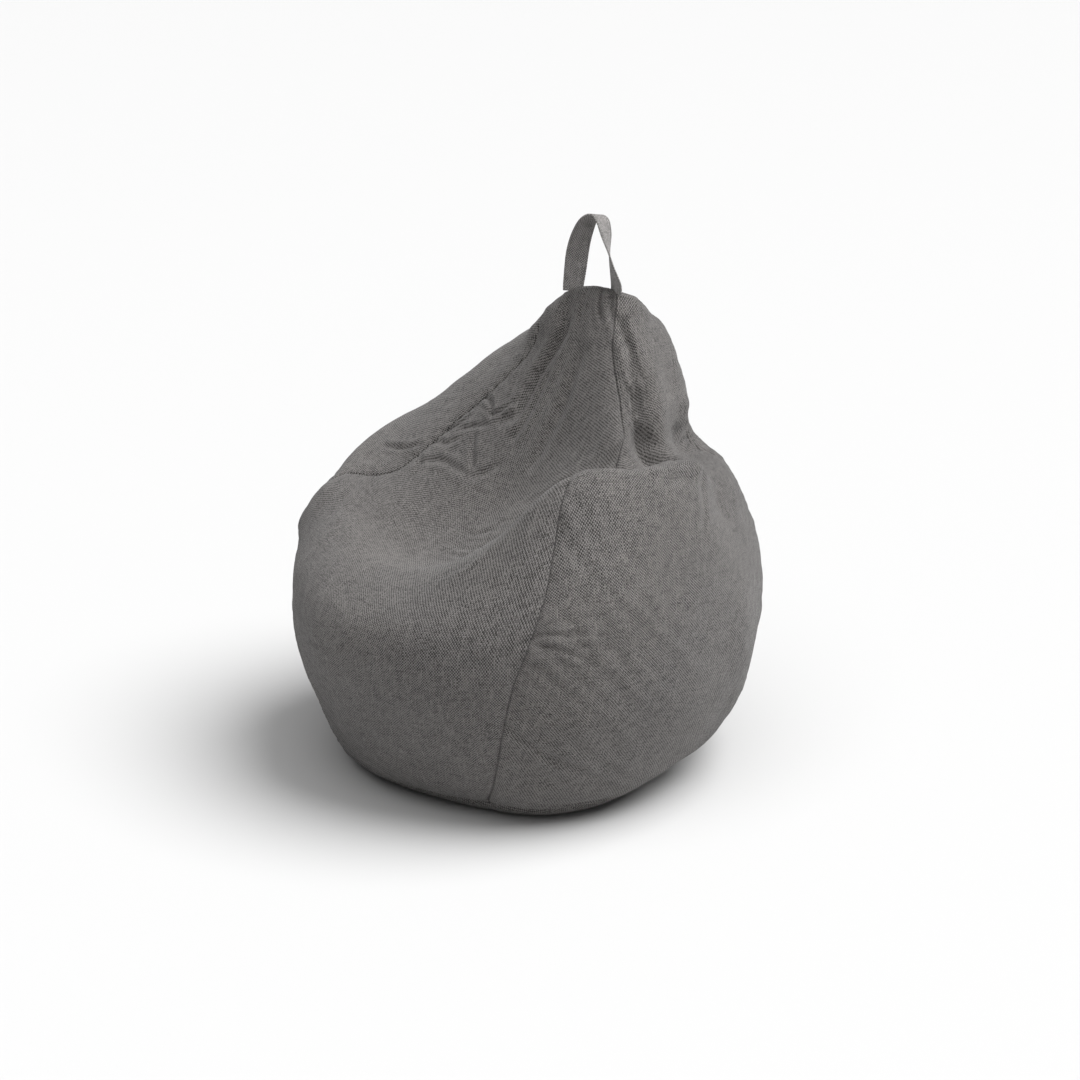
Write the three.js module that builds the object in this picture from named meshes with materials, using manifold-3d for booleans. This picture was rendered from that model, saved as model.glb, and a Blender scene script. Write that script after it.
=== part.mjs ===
// Bean bag chair: a teardrop sack of four fabric gores, slumped into a seat, with a small square top cap,
// a carry strap sewn into the cap's front seam, and a base split by a zip. Inside it lies a thin liner
// with a zip of its own, and inside the liner the loose filling, taken as one solid.
// Millimetres, +Z up, the sitter faces -Y, origin on the floor under the middle of the belly.
import * as THREE from "three";
import { mergeVertices } from "three/addons/utils/BufferGeometryUtils.js";
import Module from "manifold-3d";

const wasm = await Module();
wasm.setup();

// ---- Driving dimensions -------------------------------------------------------------------------------
const SACK_RADIUS = 400; // nominal radius of the belly, which the shape table multiplies
const SACK_HEIGHT = 800; // nominal height of the cap's front seam, which the shape table multiplies
const BASE_SEAM_RADIUS = 298; // ring where the gores meet the base
const BASE_SEAM_HEIGHT = 30;
const BASE_SQUARENESS = 14; // how far the base seam stands out at its four blunt corners
const CAP_RADIUS = 76; // ring where the gores meet the top cap
const CAP_SQUARENESS = 7;
const CAP_CROWN = 9; // rise of the cap's middle above its rim

const COVER_THICKNESS = 1.5;
const LINER_THICKNESS = 0.8;
const LAYER_GAP = 0.6; // between cover and liner, and between liner and filling
const SEAM_GAP = 0.6; // between two pieces that are sewn edge to edge
const MERGE_DISTANCE = 1e-3; // corners closer than this are one corner

const STRAP_WIDTH = 38;
const STRAP_THICKNESS = 2.5;
const STRAP_RISE = 118; // top of the carry strap's middle line above the cap's front seam
const STRAP_LEFT_ANGLE = -10; // where the two ends of the strap leave the cap seam, in degrees from the front
const STRAP_RIGHT_ANGLE = 56;
const STRAP_SWING_CLEARANCE = 5; // between the sewn ends and the cap seam, so that the strap can flop

const SLOT_HALF_LENGTH = 230; // zip opening in the base
const SLOT_HALF_WIDTH = 20;
const ZIP_HEIGHT = 10; // underside of the cover zip's tape above the floor
const TAPE_THICKNESS = 0.8;
const COIL_WIDTH = 2.4;
const COIL_HEIGHT = 2.2;
const COIL_PARTING = 1.6; // the two coils stand this far apart, and the slider's post runs between them
const SLIDER_LENGTH = 14;
const SLIDER_WIDTH = 11;
const SLIDER_PLATE = 1.2;
const SLIDER_CLEARANCE = 0.4;
const POST_WIDTH = 0.9;
const STOP_LENGTH = 3;
const PULL_LENGTH = 28;
const PULL_WIDTH = 8;
const PULL_THICKNESS = 1.4;
const CROWN_OPENING = 2.4; // height of the gap that the pull's bar turns in
const CROWN_WIRE = 0.9;

// ---- The shape of the filled sack ----------------------------------------------------------------------
// One entry for each level of the slumped sack: how far along the gore it is, how far its centre lies behind
// the axis, then the radius and the height at the front, right, back and left, as shares of the
// nominal radius and height, and how far its corners stand out, in millimetres.
const level = (along, behind, radius, height, corner = 0) => ({ along, behind, radius, height, corner });
const LEVELS = [
  level(0.12, 0, [0.835, 0.88, 0.88, 0.84], [0.115, 0.115, 0.115, 0.115], 11),
  level(0.28, 0, [0.98, 1.01, 1.005, 0.975], [0.319, 0.331, 0.331, 0.319], 4),
  level(0.42, 0.012, [0.955, 0.955, 0.965, 0.98], [0.44, 0.538, 0.525, 0.522]),
  level(0.53, 0.055, [0.775, 0.77, 0.845, 0.905], [0.505, 0.69, 0.61, 0.65]),
  level(0.62, 0.15, [0.625, 0.545, 0.655, 0.78], [0.49, 0.68, 0.69, 0.708]),
  level(0.74, 0.275, [0.425, 0.42, 0.54, 0.59], [0.588, 0.77, 0.765, 0.802]),
  level(0.88, 0.4, [0.262, 0.305, 0.35, 0.36], [0.8, 0.9, 0.848, 0.89]),
];
// The lap's right corner, which the seam holds up above the levels: where it stands, how far it reaches along
// the gore and round the sack, in degrees, and how high.
const LAP_CORNER = { along: 0.54, alongReach: 0.07, angle: 61, angleReach: 21, rise: 66 };
const CAP_BEHIND = 0.48; // the cap's place behind the axis, as a share of the nominal radius
const CAP_RADII = [0.947, 1.066, 1.079, 0.921]; // front, right, back and left, as shares of the cap's radius
const CAP_HEIGHTS = [1.002, 0.98, 0.89, 0.931]; // the same four places, as shares of the nominal height
const CORNER_ANGLE = 62; // direction of one blunt corner, in degrees from the front towards the right
const CAP_CORNER_ANGLE = 60;

// Where the four seams run, in degrees from the front, at the stated places along the gore.
const SEAMS = {
  front_right: {
    along: [0, 0.3, 0.5, 0.56, 0.64, 0.72, 0.8, 0.9, 1],
    angle: [39, 48, 58, 62, 77, 81, 74, 61, 57],
  },
  back_right: { along: [0, 0.3, 0.55, 0.75, 1], angle: [125, 135, 140, 140, 150] },
  back_left: { along: [0, 0.3, 0.55, 0.75, 1], angle: [215, 225, 225, 220, 240] },
  front_left: { along: [0, 0.3, 0.55, 0.65, 0.75, 1], angle: [305, 315, 306, 312, 309, 318] },
};
const GORES = ["right", "back", "left", "front"]; // each runs from its seam to the next one round the sack
const GORE_COLUMNS = 7;
const SIDE_ROWS = 15;
const BASE_RINGS = [
  { reach: 0.875, lift: 0 }, // edge of the flat that rests on the floor
  { reach: 0.955, lift: 0.32 },
];
const CAP_RINGS = [0.66, 0.33];
const COLUMNS = GORES.length * GORE_COLUMNS;

const radians = THREE.MathUtils.degToRad;
const { lerp } = THREE.MathUtils;

// Splits four values round a ring into their mean, front-back, right-left and front-back-against-sides parts.
function harmonics([front, right, back, left]) {
  return [
    (front + right + back + left) / 4,
    (front - back) / 2,
    (right - left) / 2,
    (front + back - right - left) / 4,
  ];
}

function levelValues({ behind, radius, height, corner }) {
  return [
    behind * SACK_RADIUS,
    ...harmonics(radius.map((share) => share * SACK_RADIUS)),
    ...harmonics(height.map((share) => share * SACK_HEIGHT)),
    corner,
  ];
}

const PLACES = [0, ...LEVELS.map((level) => level.along), 1];
const VALUES = [
  [0, BASE_SEAM_RADIUS, 0, 0, 0, BASE_SEAM_HEIGHT, 0, 0, 0, BASE_SQUARENESS],
  ...LEVELS.map(levelValues),
  [
    CAP_BEHIND * SACK_RADIUS,
    ...harmonics(CAP_RADII.map((share) => share * CAP_RADIUS)),
    ...harmonics(CAP_HEIGHTS.map((share) => share * SACK_HEIGHT)),
    CAP_SQUARENESS,
  ],
];

function slopeAt(index, channel) {
  const last = PLACES.length - 1;
  const slope = (i) => (VALUES[i + 1][channel] - VALUES[i][channel]) / (PLACES[i + 1] - PLACES[i]);
  if (index === 0) return slope(0);
  if (index === last) return slope(last - 1);
  const before = PLACES[index] - PLACES[index - 1];
  const after = PLACES[index + 1] - PLACES[index];
  return (slope(index - 1) * after + slope(index) * before) / (before + after);
}

// Cubic through the levels of one channel.
function channelAt(along, channel) {
  let i = 0;
  while (i < PLACES.length - 2 && along >= PLACES[i + 1]) i += 1;
  const step = PLACES[i + 1] - PLACES[i];
  const t = (along - PLACES[i]) / step;
  const u = 1 - t;
  return (
    u * u * (1 + 2 * t) * VALUES[i][channel] +
    u * u * t * step * slopeAt(i, channel) +
    t * t * (3 - 2 * t) * VALUES[i + 1][channel] -
    t * t * u * step * slopeAt(i + 1, channel)
  );
}

// How much higher than its levels the sack stands at a place, for the lap's corner.
function cornerRise(along, angle) {
  const { along: place, alongReach, angle: bearing, angleReach, rise } = LAP_CORNER;
  const off = (along - place) / alongReach;
  const turn = (1 - Math.cos(angle - radians(bearing))) / (1 - Math.cos(radians(angleReach)));
  return rise * Math.exp(-off * off - turn);
}

// The point of the cover at a place along the gore (0 at the base seam, 1 at the cap seam) and an angle
// from the front towards the right.
function sackPoint(along, angle) {
  const [behind, r0, r1, rs, r2, z0, z1, zs, z2, corner] = VALUES[0].map((_, k) => channelAt(along, k));
  const [c, s, c2] = [Math.cos(angle), Math.sin(angle), Math.cos(2 * angle)];
  const turned = angle - radians(lerp(CORNER_ANGLE, CAP_CORNER_ANGLE, along));
  const radius = r0 + r1 * c + rs * s + r2 * c2 + corner * Math.cos(4 * turned);
  const height = z0 + z1 * c + zs * s + z2 * c2 + cornerRise(along, angle);
  return new THREE.Vector3(radius * s, behind - radius * c, height);
}

function seamAngle(gore, along) {
  const names = Object.keys(SEAMS);
  const turns = Math.floor(gore / names.length);
  const { along: places, angle } = SEAMS[names[gore % names.length]];
  let i = 0;
  while (i < places.length - 2 && along > places[i + 1]) i += 1;
  const t = (along - places[i]) / (places[i + 1] - places[i]);
  return radians(lerp(angle[i], angle[i + 1], t) + 360 * turns);
}

function columnAngle(column, along) {
  const gore = Math.floor(column / GORE_COLUMNS);
  const share = (column % GORE_COLUMNS) / GORE_COLUMNS;
  return lerp(seamAngle(gore, along), seamAngle(gore + 1, along), share);
}

// ---- The grid that every layer shares ------------------------------------------------------------------
// Rows run from the base's middle, through the base seam, up the gores and over the cap's rim to its middle.
function ringOf(along) {
  return Array.from({ length: COLUMNS }, (_, k) => sackPoint(along, columnAngle(k, along)));
}

const baseSeam = ringOf(0);
const capSeam = ringOf(1);
const capMiddle = capSeam
  .reduce((sum, p) => sum.add(p), new THREE.Vector3())
  .divideScalar(COLUMNS);
const capUp = new THREE.Vector3()
  .crossVectors(capSeam[0].clone().sub(capMiddle), capSeam[GORE_COLUMNS].clone().sub(capMiddle))
  .normalize();

const baseRow = ({ reach, lift }) =>
  baseSeam.map((p) => new THREE.Vector3(p.x * reach, p.y * reach, p.z * lift));
const capRow = (share) =>
  capSeam.map((p) =>
    p.clone().lerp(capMiddle, 1 - share).addScaledVector(capUp, CAP_CROWN * (1 - share * share)),
  );
const rows = [
  baseRow({ reach: 0, lift: 0 }),
  ...BASE_RINGS.map(baseRow),
  ...Array.from({ length: SIDE_ROWS + 1 }, (_, j) => ringOf(j / SIDE_ROWS)),
  ...CAP_RINGS.map(capRow),
  capRow(0),
];
const BASE_SEAM_ROW = BASE_RINGS.length + 1;
const CAP_SEAM_ROW = BASE_SEAM_ROW + SIDE_ROWS;
const TOP_ROW = rows.length - 1;

function gridNormals() {
  const sums = rows.map((row) => row.map(() => new THREE.Vector3()));
  const add = (a, b, c) => {
    const [pa, pb, pc] = [a, b, c].map(([j, k]) => rows[j][k]);
    const face = new THREE.Vector3().crossVectors(pb.clone().sub(pa), pc.clone().sub(pa));
    for (const [j, k] of [a, b, c]) sums[j][k].add(face);
  };
  for (let j = 0; j < TOP_ROW; j += 1) {
    for (let k = 0; k < COLUMNS; k += 1) {
      const next = (k + 1) % COLUMNS;
      add([j, k], [j, next], [j + 1, next]);
      add([j, k], [j + 1, next], [j + 1, k]);
    }
  }
  for (const row of [0, TOP_ROW]) {
    const whole = sums[row].reduce((sum, n) => sum.add(n), new THREE.Vector3());
    sums[row] = sums[row].map(() => whole);
  }
  return sums.map((row) => row.map((n) => n.clone().normalize()));
}

const normals = gridNormals();
const inward = (row, column, depth) =>
  rows[row][column].clone().addScaledVector(normals[row][column], -depth);

// ---- Solids --------------------------------------------------------------------------------------------
function geometryOf(points, triangles) {
  const geometry = new THREE.BufferGeometry().setFromPoints(points);
  geometry.setIndex(triangles.flat());
  return geometry;
}

function manifoldOf(geometry) {
  const bare = geometry.clone();
  bare.deleteAttribute("normal");
  bare.deleteAttribute("uv");
  const merged = mergeVertices(bare, MERGE_DISTANCE);
  return new wasm.Manifold(
    new wasm.Mesh({
      numProp: 3,
      vertProperties: new Float32Array(merged.attributes.position.array),
      triVerts: new Uint32Array(merged.index.array),
    }),
  );
}

function geometryFrom(solid) {
  const { vertProperties, triVerts } = solid.getMesh();
  return new THREE.BufferGeometry()
    .setAttribute("position", new THREE.BufferAttribute(new Float32Array(vertProperties), 3))
    .setIndex(new THREE.BufferAttribute(new Uint32Array(triVerts), 1));
}

function box([x0, x1], [y0, y1], [z0, z1]) {
  const block = new THREE.BoxGeometry(x1 - x0, y1 - y0, z1 - z0);
  return block.translate((x0 + x1) / 2, (y0 + y1) / 2, (z0 + z1) / 2);
}

const joined = (...geometries) => geometries.map(manifoldOf).reduce((whole, piece) => whole.add(piece));

// A piece of fabric with its outer and inner face at two depths under the sack's surface, over the rows and
// columns named. Its cut edges stand half a seam gap back from the seam.
function clothSheet(firstRow, lastRow, firstColumn, columnCount, outerDepth, innerDepth) {
  const round = columnCount === COLUMNS;
  const width = round ? COLUMNS : columnCount + 1;
  const height = lastRow - firstRow + 1;
  const columnOf = (k) => (firstColumn + k + COLUMNS) % COLUMNS;
  const place = (j, k, depth) => {
    const row = firstRow + j;
    const point = inward(row, columnOf(k), depth);
    const pull = (nearRow, nearColumn) => {
      const towards = inward(nearRow, nearColumn, depth).sub(point);
      return towards.setLength(Math.min(SEAM_GAP / 2, towards.length() / 2));
    };
    const shift = new THREE.Vector3();
    if (row === firstRow && firstRow > 0) shift.add(pull(row + 1, columnOf(k)));
    if (row === lastRow && lastRow < TOP_ROW) shift.add(pull(row - 1, columnOf(k)));
    if (!round && k === 0) shift.add(pull(row, columnOf(k + 1)));
    if (!round && k === width - 1) shift.add(pull(row, columnOf(k - 1)));
    return point.add(shift);
  };
  const points = [];
  for (const depth of [outerDepth, innerDepth]) {
    for (let j = 0; j < height; j += 1) for (let k = 0; k < width; k += 1) points.push(place(j, k, depth));
  }
  const outer = (j, k) => j * width + (k % width);
  const inner = (j, k) => width * height + outer(j, k);
  const triangles = [];
  const quad = (a, b, c, d) => triangles.push([a, b, c], [a, c, d]);
  const cells = round ? width : width - 1;
  for (let j = 0; j < height - 1; j += 1) {
    for (let k = 0; k < cells; k += 1) {
      quad(outer(j, k), outer(j, k + 1), outer(j + 1, k + 1), outer(j + 1, k));
      triangles.push([inner(j, k), inner(j + 1, k + 1), inner(j, k + 1)]);
      triangles.push([inner(j, k), inner(j + 1, k), inner(j + 1, k + 1)]);
    }
  }
  const top = height - 1;
  for (let k = 0; k < cells; k += 1) {
    if (firstRow > 0) quad(inner(0, k), inner(0, k + 1), outer(0, k + 1), outer(0, k));
    if (lastRow < TOP_ROW) quad(outer(top, k), outer(top, k + 1), inner(top, k + 1), inner(top, k));
  }
  for (let j = 0; j < top && !round; j += 1) {
    quad(outer(j, 0), outer(j + 1, 0), inner(j + 1, 0), inner(j, 0));
    quad(inner(j, width - 1), inner(j + 1, width - 1), outer(j + 1, width - 1), outer(j, width - 1));
  }
  return closedGeometry(points, triangles);
}

// Drops the triangles that fold to nothing where a row shrinks to one point.
function closedGeometry(points, triangles) {
  const key = (p) => p.toArray().map((value) => value.toFixed(3)).join();
  const keys = points.map(key);
  const real = triangles.filter((corners) => new Set(corners.map((k) => keys[k])).size === corners.length);
  return mergeVertices(geometryOf(points, real), 1e-3);
}

// The closed surface at one depth under the whole cover.
function sackSolid(depth) {
  const points = rows.flatMap((row, j) => row.map((_, k) => inward(j, k, depth)));
  const at = (j, k) => j * COLUMNS + (k % COLUMNS);
  const triangles = [];
  for (let j = 0; j < TOP_ROW; j += 1) {
    for (let k = 0; k < COLUMNS; k += 1) {
      triangles.push([at(j, k), at(j, k + 1), at(j + 1, k + 1)], [at(j, k), at(j + 1, k + 1), at(j + 1, k)]);
    }
  }
  return closedGeometry(points, triangles);
}

// ---- Materials and the group ---------------------------------------------------------------------------
const LOOKS = {
  cover: { color: 0x6b6866, roughness: 0.95, metalness: 0 },
  liner: { color: 0xe6e4df, roughness: 0.8, metalness: 0 },
  filling: { color: 0xf4f4f2, roughness: 0.7, metalness: 0 },
  tape: { color: 0x4b4947, roughness: 0.9, metalness: 0 },
  coil: { color: 0x3c3a39, roughness: 0.5, metalness: 0 },
  liner_tape: { color: 0xdedcd6, roughness: 0.9, metalness: 0 },
  liner_coil: { color: 0xd6d4ce, roughness: 0.5, metalness: 0 },
  metal: { color: 0x8f8f90, roughness: 0.35, metalness: 1 },
};

const chair = new THREE.Group();

function addPiece(name, look, geometry) {
  geometry.computeVertexNormals();
  const mesh = new THREE.Mesh(geometry, new THREE.MeshStandardMaterial(LOOKS[look]));
  mesh.name = name;
  chair.add(mesh);
}

// ---- The two sacks -------------------------------------------------------------------------------------
// Depths of each layer's faces under the cover's surface.
const LINER_DEPTH = COVER_THICKNESS + LAYER_GAP;
const FILLING_DEPTH = LINER_DEPTH + LINER_THICKNESS + LAYER_GAP;

// Room the zip's slider takes under and over the tape's underside.
const SLIDER_BELOW = COIL_HEIGHT + 2 * SLIDER_CLEARANCE + SLIDER_PLATE;
const SLIDER_ABOVE = TAPE_THICKNESS + SLIDER_CLEARANCE + SLIDER_PLATE;
const LINER_ZIP_HEIGHT = ZIP_HEIGHT + SLIDER_ABOVE + LAYER_GAP + SLIDER_BELOW;
const RECESS_HEIGHT = LINER_ZIP_HEIGHT + SLIDER_ABOVE + LAYER_GAP;
const LINER_SLOT_GROWTH = COVER_THICKNESS + LAYER_GAP;
const RECESS_GROWTH = LINER_SLOT_GROWTH + LINER_THICKNESS + LAYER_GAP;
const BEYOND = 50; // how far a cutting block runs past what it cuts

// The base in two halves, with a hem turned up round the zip's slot as far as the tape.
function baseHalves(outerDepth, innerDepth, slotGrowth, tapeHeight) {
  const halfLength = SLOT_HALF_LENGTH + slotGrowth;
  const halfWidth = SLOT_HALF_WIDTH + slotGrowth;
  const hem = innerDepth - outerDepth;
  const slot = manifoldOf(box([-halfLength, halfLength], [-halfWidth, halfWidth], [-BEYOND, BEYOND]));
  const hemBlock = box(
    [-halfLength - hem, halfLength + hem],
    [-halfWidth - hem, halfWidth + hem],
    [outerDepth, tapeHeight - SEAM_GAP],
  );
  const slitReach = BASE_SEAM_RADIUS + BASE_SQUARENESS + BEYOND;
  const slit = manifoldOf(box([-slitReach, slitReach], [-SEAM_GAP / 2, SEAM_GAP / 2], [-BEYOND, BEYOND]));
  const sheet = manifoldOf(clothSheet(0, BASE_SEAM_ROW, 0, COLUMNS, outerDepth, innerDepth));
  const halves = sheet.add(manifoldOf(hemBlock)).subtract(slot).subtract(slit).decompose();
  const frontFirst = halves.sort((a, b) => a.boundingBox().min[1] - b.boundingBox().min[1]);
  return frontFirst.map(geometryFrom);
}

function addSack(prefix, look, outerDepth, innerDepth, slotGrowth, tapeHeight) {
  GORES.forEach((gore, i) => {
    const column = i * GORE_COLUMNS;
    const panel = clothSheet(BASE_SEAM_ROW, CAP_SEAM_ROW, column, GORE_COLUMNS, outerDepth, innerDepth);
    addPiece(`${prefix}_${gore}_panel`, look, panel);
  });
  addPiece(`${prefix}_top_cap`, look, clothSheet(CAP_SEAM_ROW, TOP_ROW, 0, COLUMNS, outerDepth, innerDepth));
  const [front, back] = baseHalves(outerDepth, innerDepth, slotGrowth, tapeHeight);
  addPiece(`${prefix}_base_front`, look, front);
  addPiece(`${prefix}_base_back`, look, back);
}

addSack("cover", "cover", 0, COVER_THICKNESS, 0, ZIP_HEIGHT);
addSack("liner", "liner", LINER_DEPTH, LINER_DEPTH + LINER_THICKNESS, LINER_SLOT_GROWTH, LINER_ZIP_HEIGHT);

const recess = box(
  [-SLOT_HALF_LENGTH - RECESS_GROWTH, SLOT_HALF_LENGTH + RECESS_GROWTH],
  [-SLOT_HALF_WIDTH - RECESS_GROWTH, SLOT_HALF_WIDTH + RECESS_GROWTH],
  [-BEYOND, RECESS_HEIGHT],
);
const beads = manifoldOf(sackSolid(FILLING_DEPTH)).subtract(manifoldOf(recess));
addPiece("bead_filling", "filling", geometryFrom(beads));

// ---- Zips ----------------------------------------------------------------------------------------------
// The chain ends short of the slot: by a stop on the closed side, and by the pull's length on the open side.
const CHAIN_CLOSED_END = SLOT_HALF_LENGTH - 2 * STOP_LENGTH;
const CHAIN_OPEN_END = -(SLOT_HALF_LENGTH - PULL_LENGTH - STOP_LENGTH);
const SLIDER_PARKED = CHAIN_CLOSED_END - SLIDER_LENGTH / 2 - SLIDER_CLEARANCE;
const PULL_AXIS_DROP = SLIDER_BELOW + CROWN_OPENING / 2; // of the pull's pivot under the tape's underside
const CROWN_HALF_LENGTH = 4;
const CROWN_HALF_WIDTH = 1;
const PULL_BAR = 1.6;
const PULL_WINDOW_LENGTH = 6.5;

// A bar of eight sides along X.
function roundedBar([x0, x1], [y0, y1], [z0, z1]) {
  const corner = Math.min(y1 - y0, z1 - z0) / 4;
  const outline = new THREE.Shape([
    new THREE.Vector2(y0 + corner, z0),
    new THREE.Vector2(y1 - corner, z0),
    new THREE.Vector2(y1, z0 + corner),
    new THREE.Vector2(y1, z1 - corner),
    new THREE.Vector2(y1 - corner, z1),
    new THREE.Vector2(y0 + corner, z1),
    new THREE.Vector2(y0, z1 - corner),
    new THREE.Vector2(y0, z0 + corner),
  ]);
  const alongX = new THREE.Matrix4().makeBasis(
    new THREE.Vector3(0, 1, 0),
    new THREE.Vector3(0, 0, 1),
    new THREE.Vector3(1, 0, 0),
  );
  return new THREE.ExtrudeGeometry(outline, { depth: x1 - x0, bevelEnabled: false })
    .applyMatrix4(alongX)
    .translate(x0, 0, 0);
}

function sliderSolid(x, tapeHeight, hasPull) {
  const length = [x - SLIDER_LENGTH / 2, x + SLIDER_LENGTH / 2];
  const width = [-SLIDER_WIDTH / 2, SLIDER_WIDTH / 2];
  const bottom = tapeHeight - SLIDER_BELOW;
  const top = tapeHeight + SLIDER_ABOVE;
  const lowerPlate = box(length, width, [bottom, bottom + SLIDER_PLATE]);
  const upperPlate = box(length, width, [top - SLIDER_PLATE, top]);
  const post = box([x, length[1]], [-POST_WIDTH / 2, POST_WIDTH / 2], [bottom, top]);
  const coilEdge = COIL_PARTING / 2 + COIL_WIDTH + SLIDER_CLEARANCE;
  const flangeTop = tapeHeight - SLIDER_CLEARANCE;
  const flanges = [
    box(length, [coilEdge, width[1]], [bottom, flangeTop]),
    box(length, [width[0], -coilEdge], [bottom, flangeTop]),
  ];
  let solid = joined(lowerPlate, upperPlate, post, ...flanges);
  if (hasPull) {
    const crownLow = bottom - CROWN_OPENING - CROWN_WIRE;
    const crownLength = [x - CROWN_HALF_LENGTH, x + CROWN_HALF_LENGTH];
    const crown = box(crownLength, [-CROWN_HALF_WIDTH, CROWN_HALF_WIDTH], [crownLow, bottom]);
    const reach = CROWN_HALF_LENGTH - CROWN_WIRE;
    const opening = box([x - reach, x + reach], [-BEYOND, BEYOND], [bottom - CROWN_OPENING, bottom]);
    solid = manifoldOf(crown).subtract(manifoldOf(opening)).add(solid);
  }
  return geometryFrom(solid);
}

// A flat tab with a window at its near end: the bar before the window turns in the slider's crown.
function pullSolid(x, pivotHeight) {
  const half = PULL_THICKNESS / 2;
  const outline = new THREE.Shape();
  const [near, far] = [PULL_BAR / 2, PULL_BAR / 2 - PULL_LENGTH];
  const side = PULL_WIDTH / 2;
  outline.moveTo(near, -side);
  outline.lineTo(near, side);
  outline.lineTo(far + side, side);
  outline.absarc(far + side, 0, side, Math.PI / 2, (3 * Math.PI) / 2, false);
  const windowHalf = CROWN_HALF_WIDTH + SLIDER_CLEARANCE;
  const window = new THREE.Path([
    new THREE.Vector2(-PULL_BAR / 2, -windowHalf),
    new THREE.Vector2(-PULL_WINDOW_LENGTH, -windowHalf),
    new THREE.Vector2(-PULL_WINDOW_LENGTH, windowHalf),
    new THREE.Vector2(-PULL_BAR / 2, windowHalf),
  ]);
  outline.holes.push(window);
  const options = { depth: PULL_THICKNESS, bevelEnabled: false, curveSegments: 12 };
  return new THREE.ExtrudeGeometry(outline, options).translate(x, 0, pivotHeight - half);
}

function addZip(prefix, looks, slotGrowth, hem, tapeHeight, hasPull) {
  const tapeEnd = SLOT_HALF_LENGTH + slotGrowth + hem;
  const tapeEdge = SLOT_HALF_WIDTH + slotGrowth + hem;
  const coilHeights = [tapeHeight - SLIDER_CLEARANCE - COIL_HEIGHT, tapeHeight - SLIDER_CLEARANCE];
  const stopWidth = COIL_PARTING / 2 + COIL_WIDTH;
  for (const [place, side] of [["front", -1], ["back", 1]]) {
    const across = (near, far) => [side * near, side * far].sort((a, b) => a - b);
    const tapeTop = tapeHeight + TAPE_THICKNESS;
    const tape = box([-tapeEnd, tapeEnd], across(COIL_PARTING / 2, tapeEdge), [tapeHeight, tapeTop]);
    addPiece(`${prefix}_tape_${place}`, looks.tape, tape);
    const coil = roundedBar(
      [CHAIN_OPEN_END, CHAIN_CLOSED_END],
      across(COIL_PARTING / 2, COIL_PARTING / 2 + COIL_WIDTH),
      coilHeights,
    );
    addPiece(`${prefix}_coil_${place}`, looks.coil, coil);
  }
  for (const [place, start] of [
    ["open_stop", CHAIN_OPEN_END - SEAM_GAP - STOP_LENGTH],
    ["closed_stop", CHAIN_CLOSED_END + SEAM_GAP],
  ]) {
    const stop = roundedBar([start, start + STOP_LENGTH], [-stopWidth, stopWidth], coilHeights);
    addPiece(`${prefix}_${place}`, "metal", stop);
  }
  addPiece(`${prefix}_slider`, "metal", sliderSolid(SLIDER_PARKED, tapeHeight, hasPull));
}

addZip("zip", { tape: "tape", coil: "coil" }, 0, COVER_THICKNESS, ZIP_HEIGHT, true);
addPiece("zip_pull", "metal", pullSolid(SLIDER_PARKED, ZIP_HEIGHT - PULL_AXIS_DROP));
addZip(
  "liner_zip",
  { tape: "liner_tape", coil: "liner_coil" },
  LINER_SLOT_GROWTH,
  LINER_THICKNESS,
  LINER_ZIP_HEIGHT,
  false,
);

// ---- The carry strap -----------------------------------------------------------------------------------
// Its two ends stand on one straight line over the cap's front seam, which is also the line it flops about.
const hingeLift = STRAP_THICKNESS / 2 + STRAP_SWING_CLEARANCE;
const strapEnd = (angle) => sackPoint(1, radians(angle)).addScaledVector(capUp, hingeLift);
const leftEnd = strapEnd(STRAP_LEFT_ANGLE);
const rightEnd = strapEnd(STRAP_RIGHT_ANGLE);
const acrossStrap = rightEnd.clone().sub(leftEnd);
const strapSpan = acrossStrap.length();
acrossStrap.normalize();
const strapMiddle = leftEnd.clone().lerp(rightEnd, 0.5);
const strapUp = new THREE.Vector3(0, 0, 1);
const strapBack = new THREE.Vector3().crossVectors(strapUp, acrossStrap).normalize();

// Middle line as shares of the span across and of the rise up, and the way the strap's inner face looks there
// as parts across, back and up: towards the front at both sewn ends, and down into the loop at its top.
const STRAP_STATIONS = [
  { across: -0.5, up: 0, face: [0.1, -1, 0] },
  { across: -0.48, up: 0.22, face: [0.35, -1, 0] },
  { across: -0.45, up: 0.48, face: [0.6, -0.9, 0] },
  { across: -0.37, up: 0.74, face: [0.9, -0.7, -0.4] },
  { across: -0.22, up: 0.93, face: [0.6, -0.4, -1] },
  { across: -0.04, up: 1, face: [0, -0.15, -1] },
  { across: 0.11, up: 0.93, face: [-0.6, 0, -0.8] },
  { across: 0.21, up: 0.75, face: [-1, -0.1, -0.3] },
  { across: 0.3, up: 0.5, face: [-1, -0.45, 0] },
  { across: 0.4, up: 0.24, face: [-0.75, -0.9, 0] },
  { across: 0.5, up: 0, face: [-0.15, -1, 0] },
];
const STRAP_STEPS = 36;

function strapVector(across, back, up) {
  return new THREE.Vector3()
    .addScaledVector(acrossStrap, across)
    .addScaledVector(strapBack, back)
    .addScaledVector(strapUp, up);
}

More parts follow.
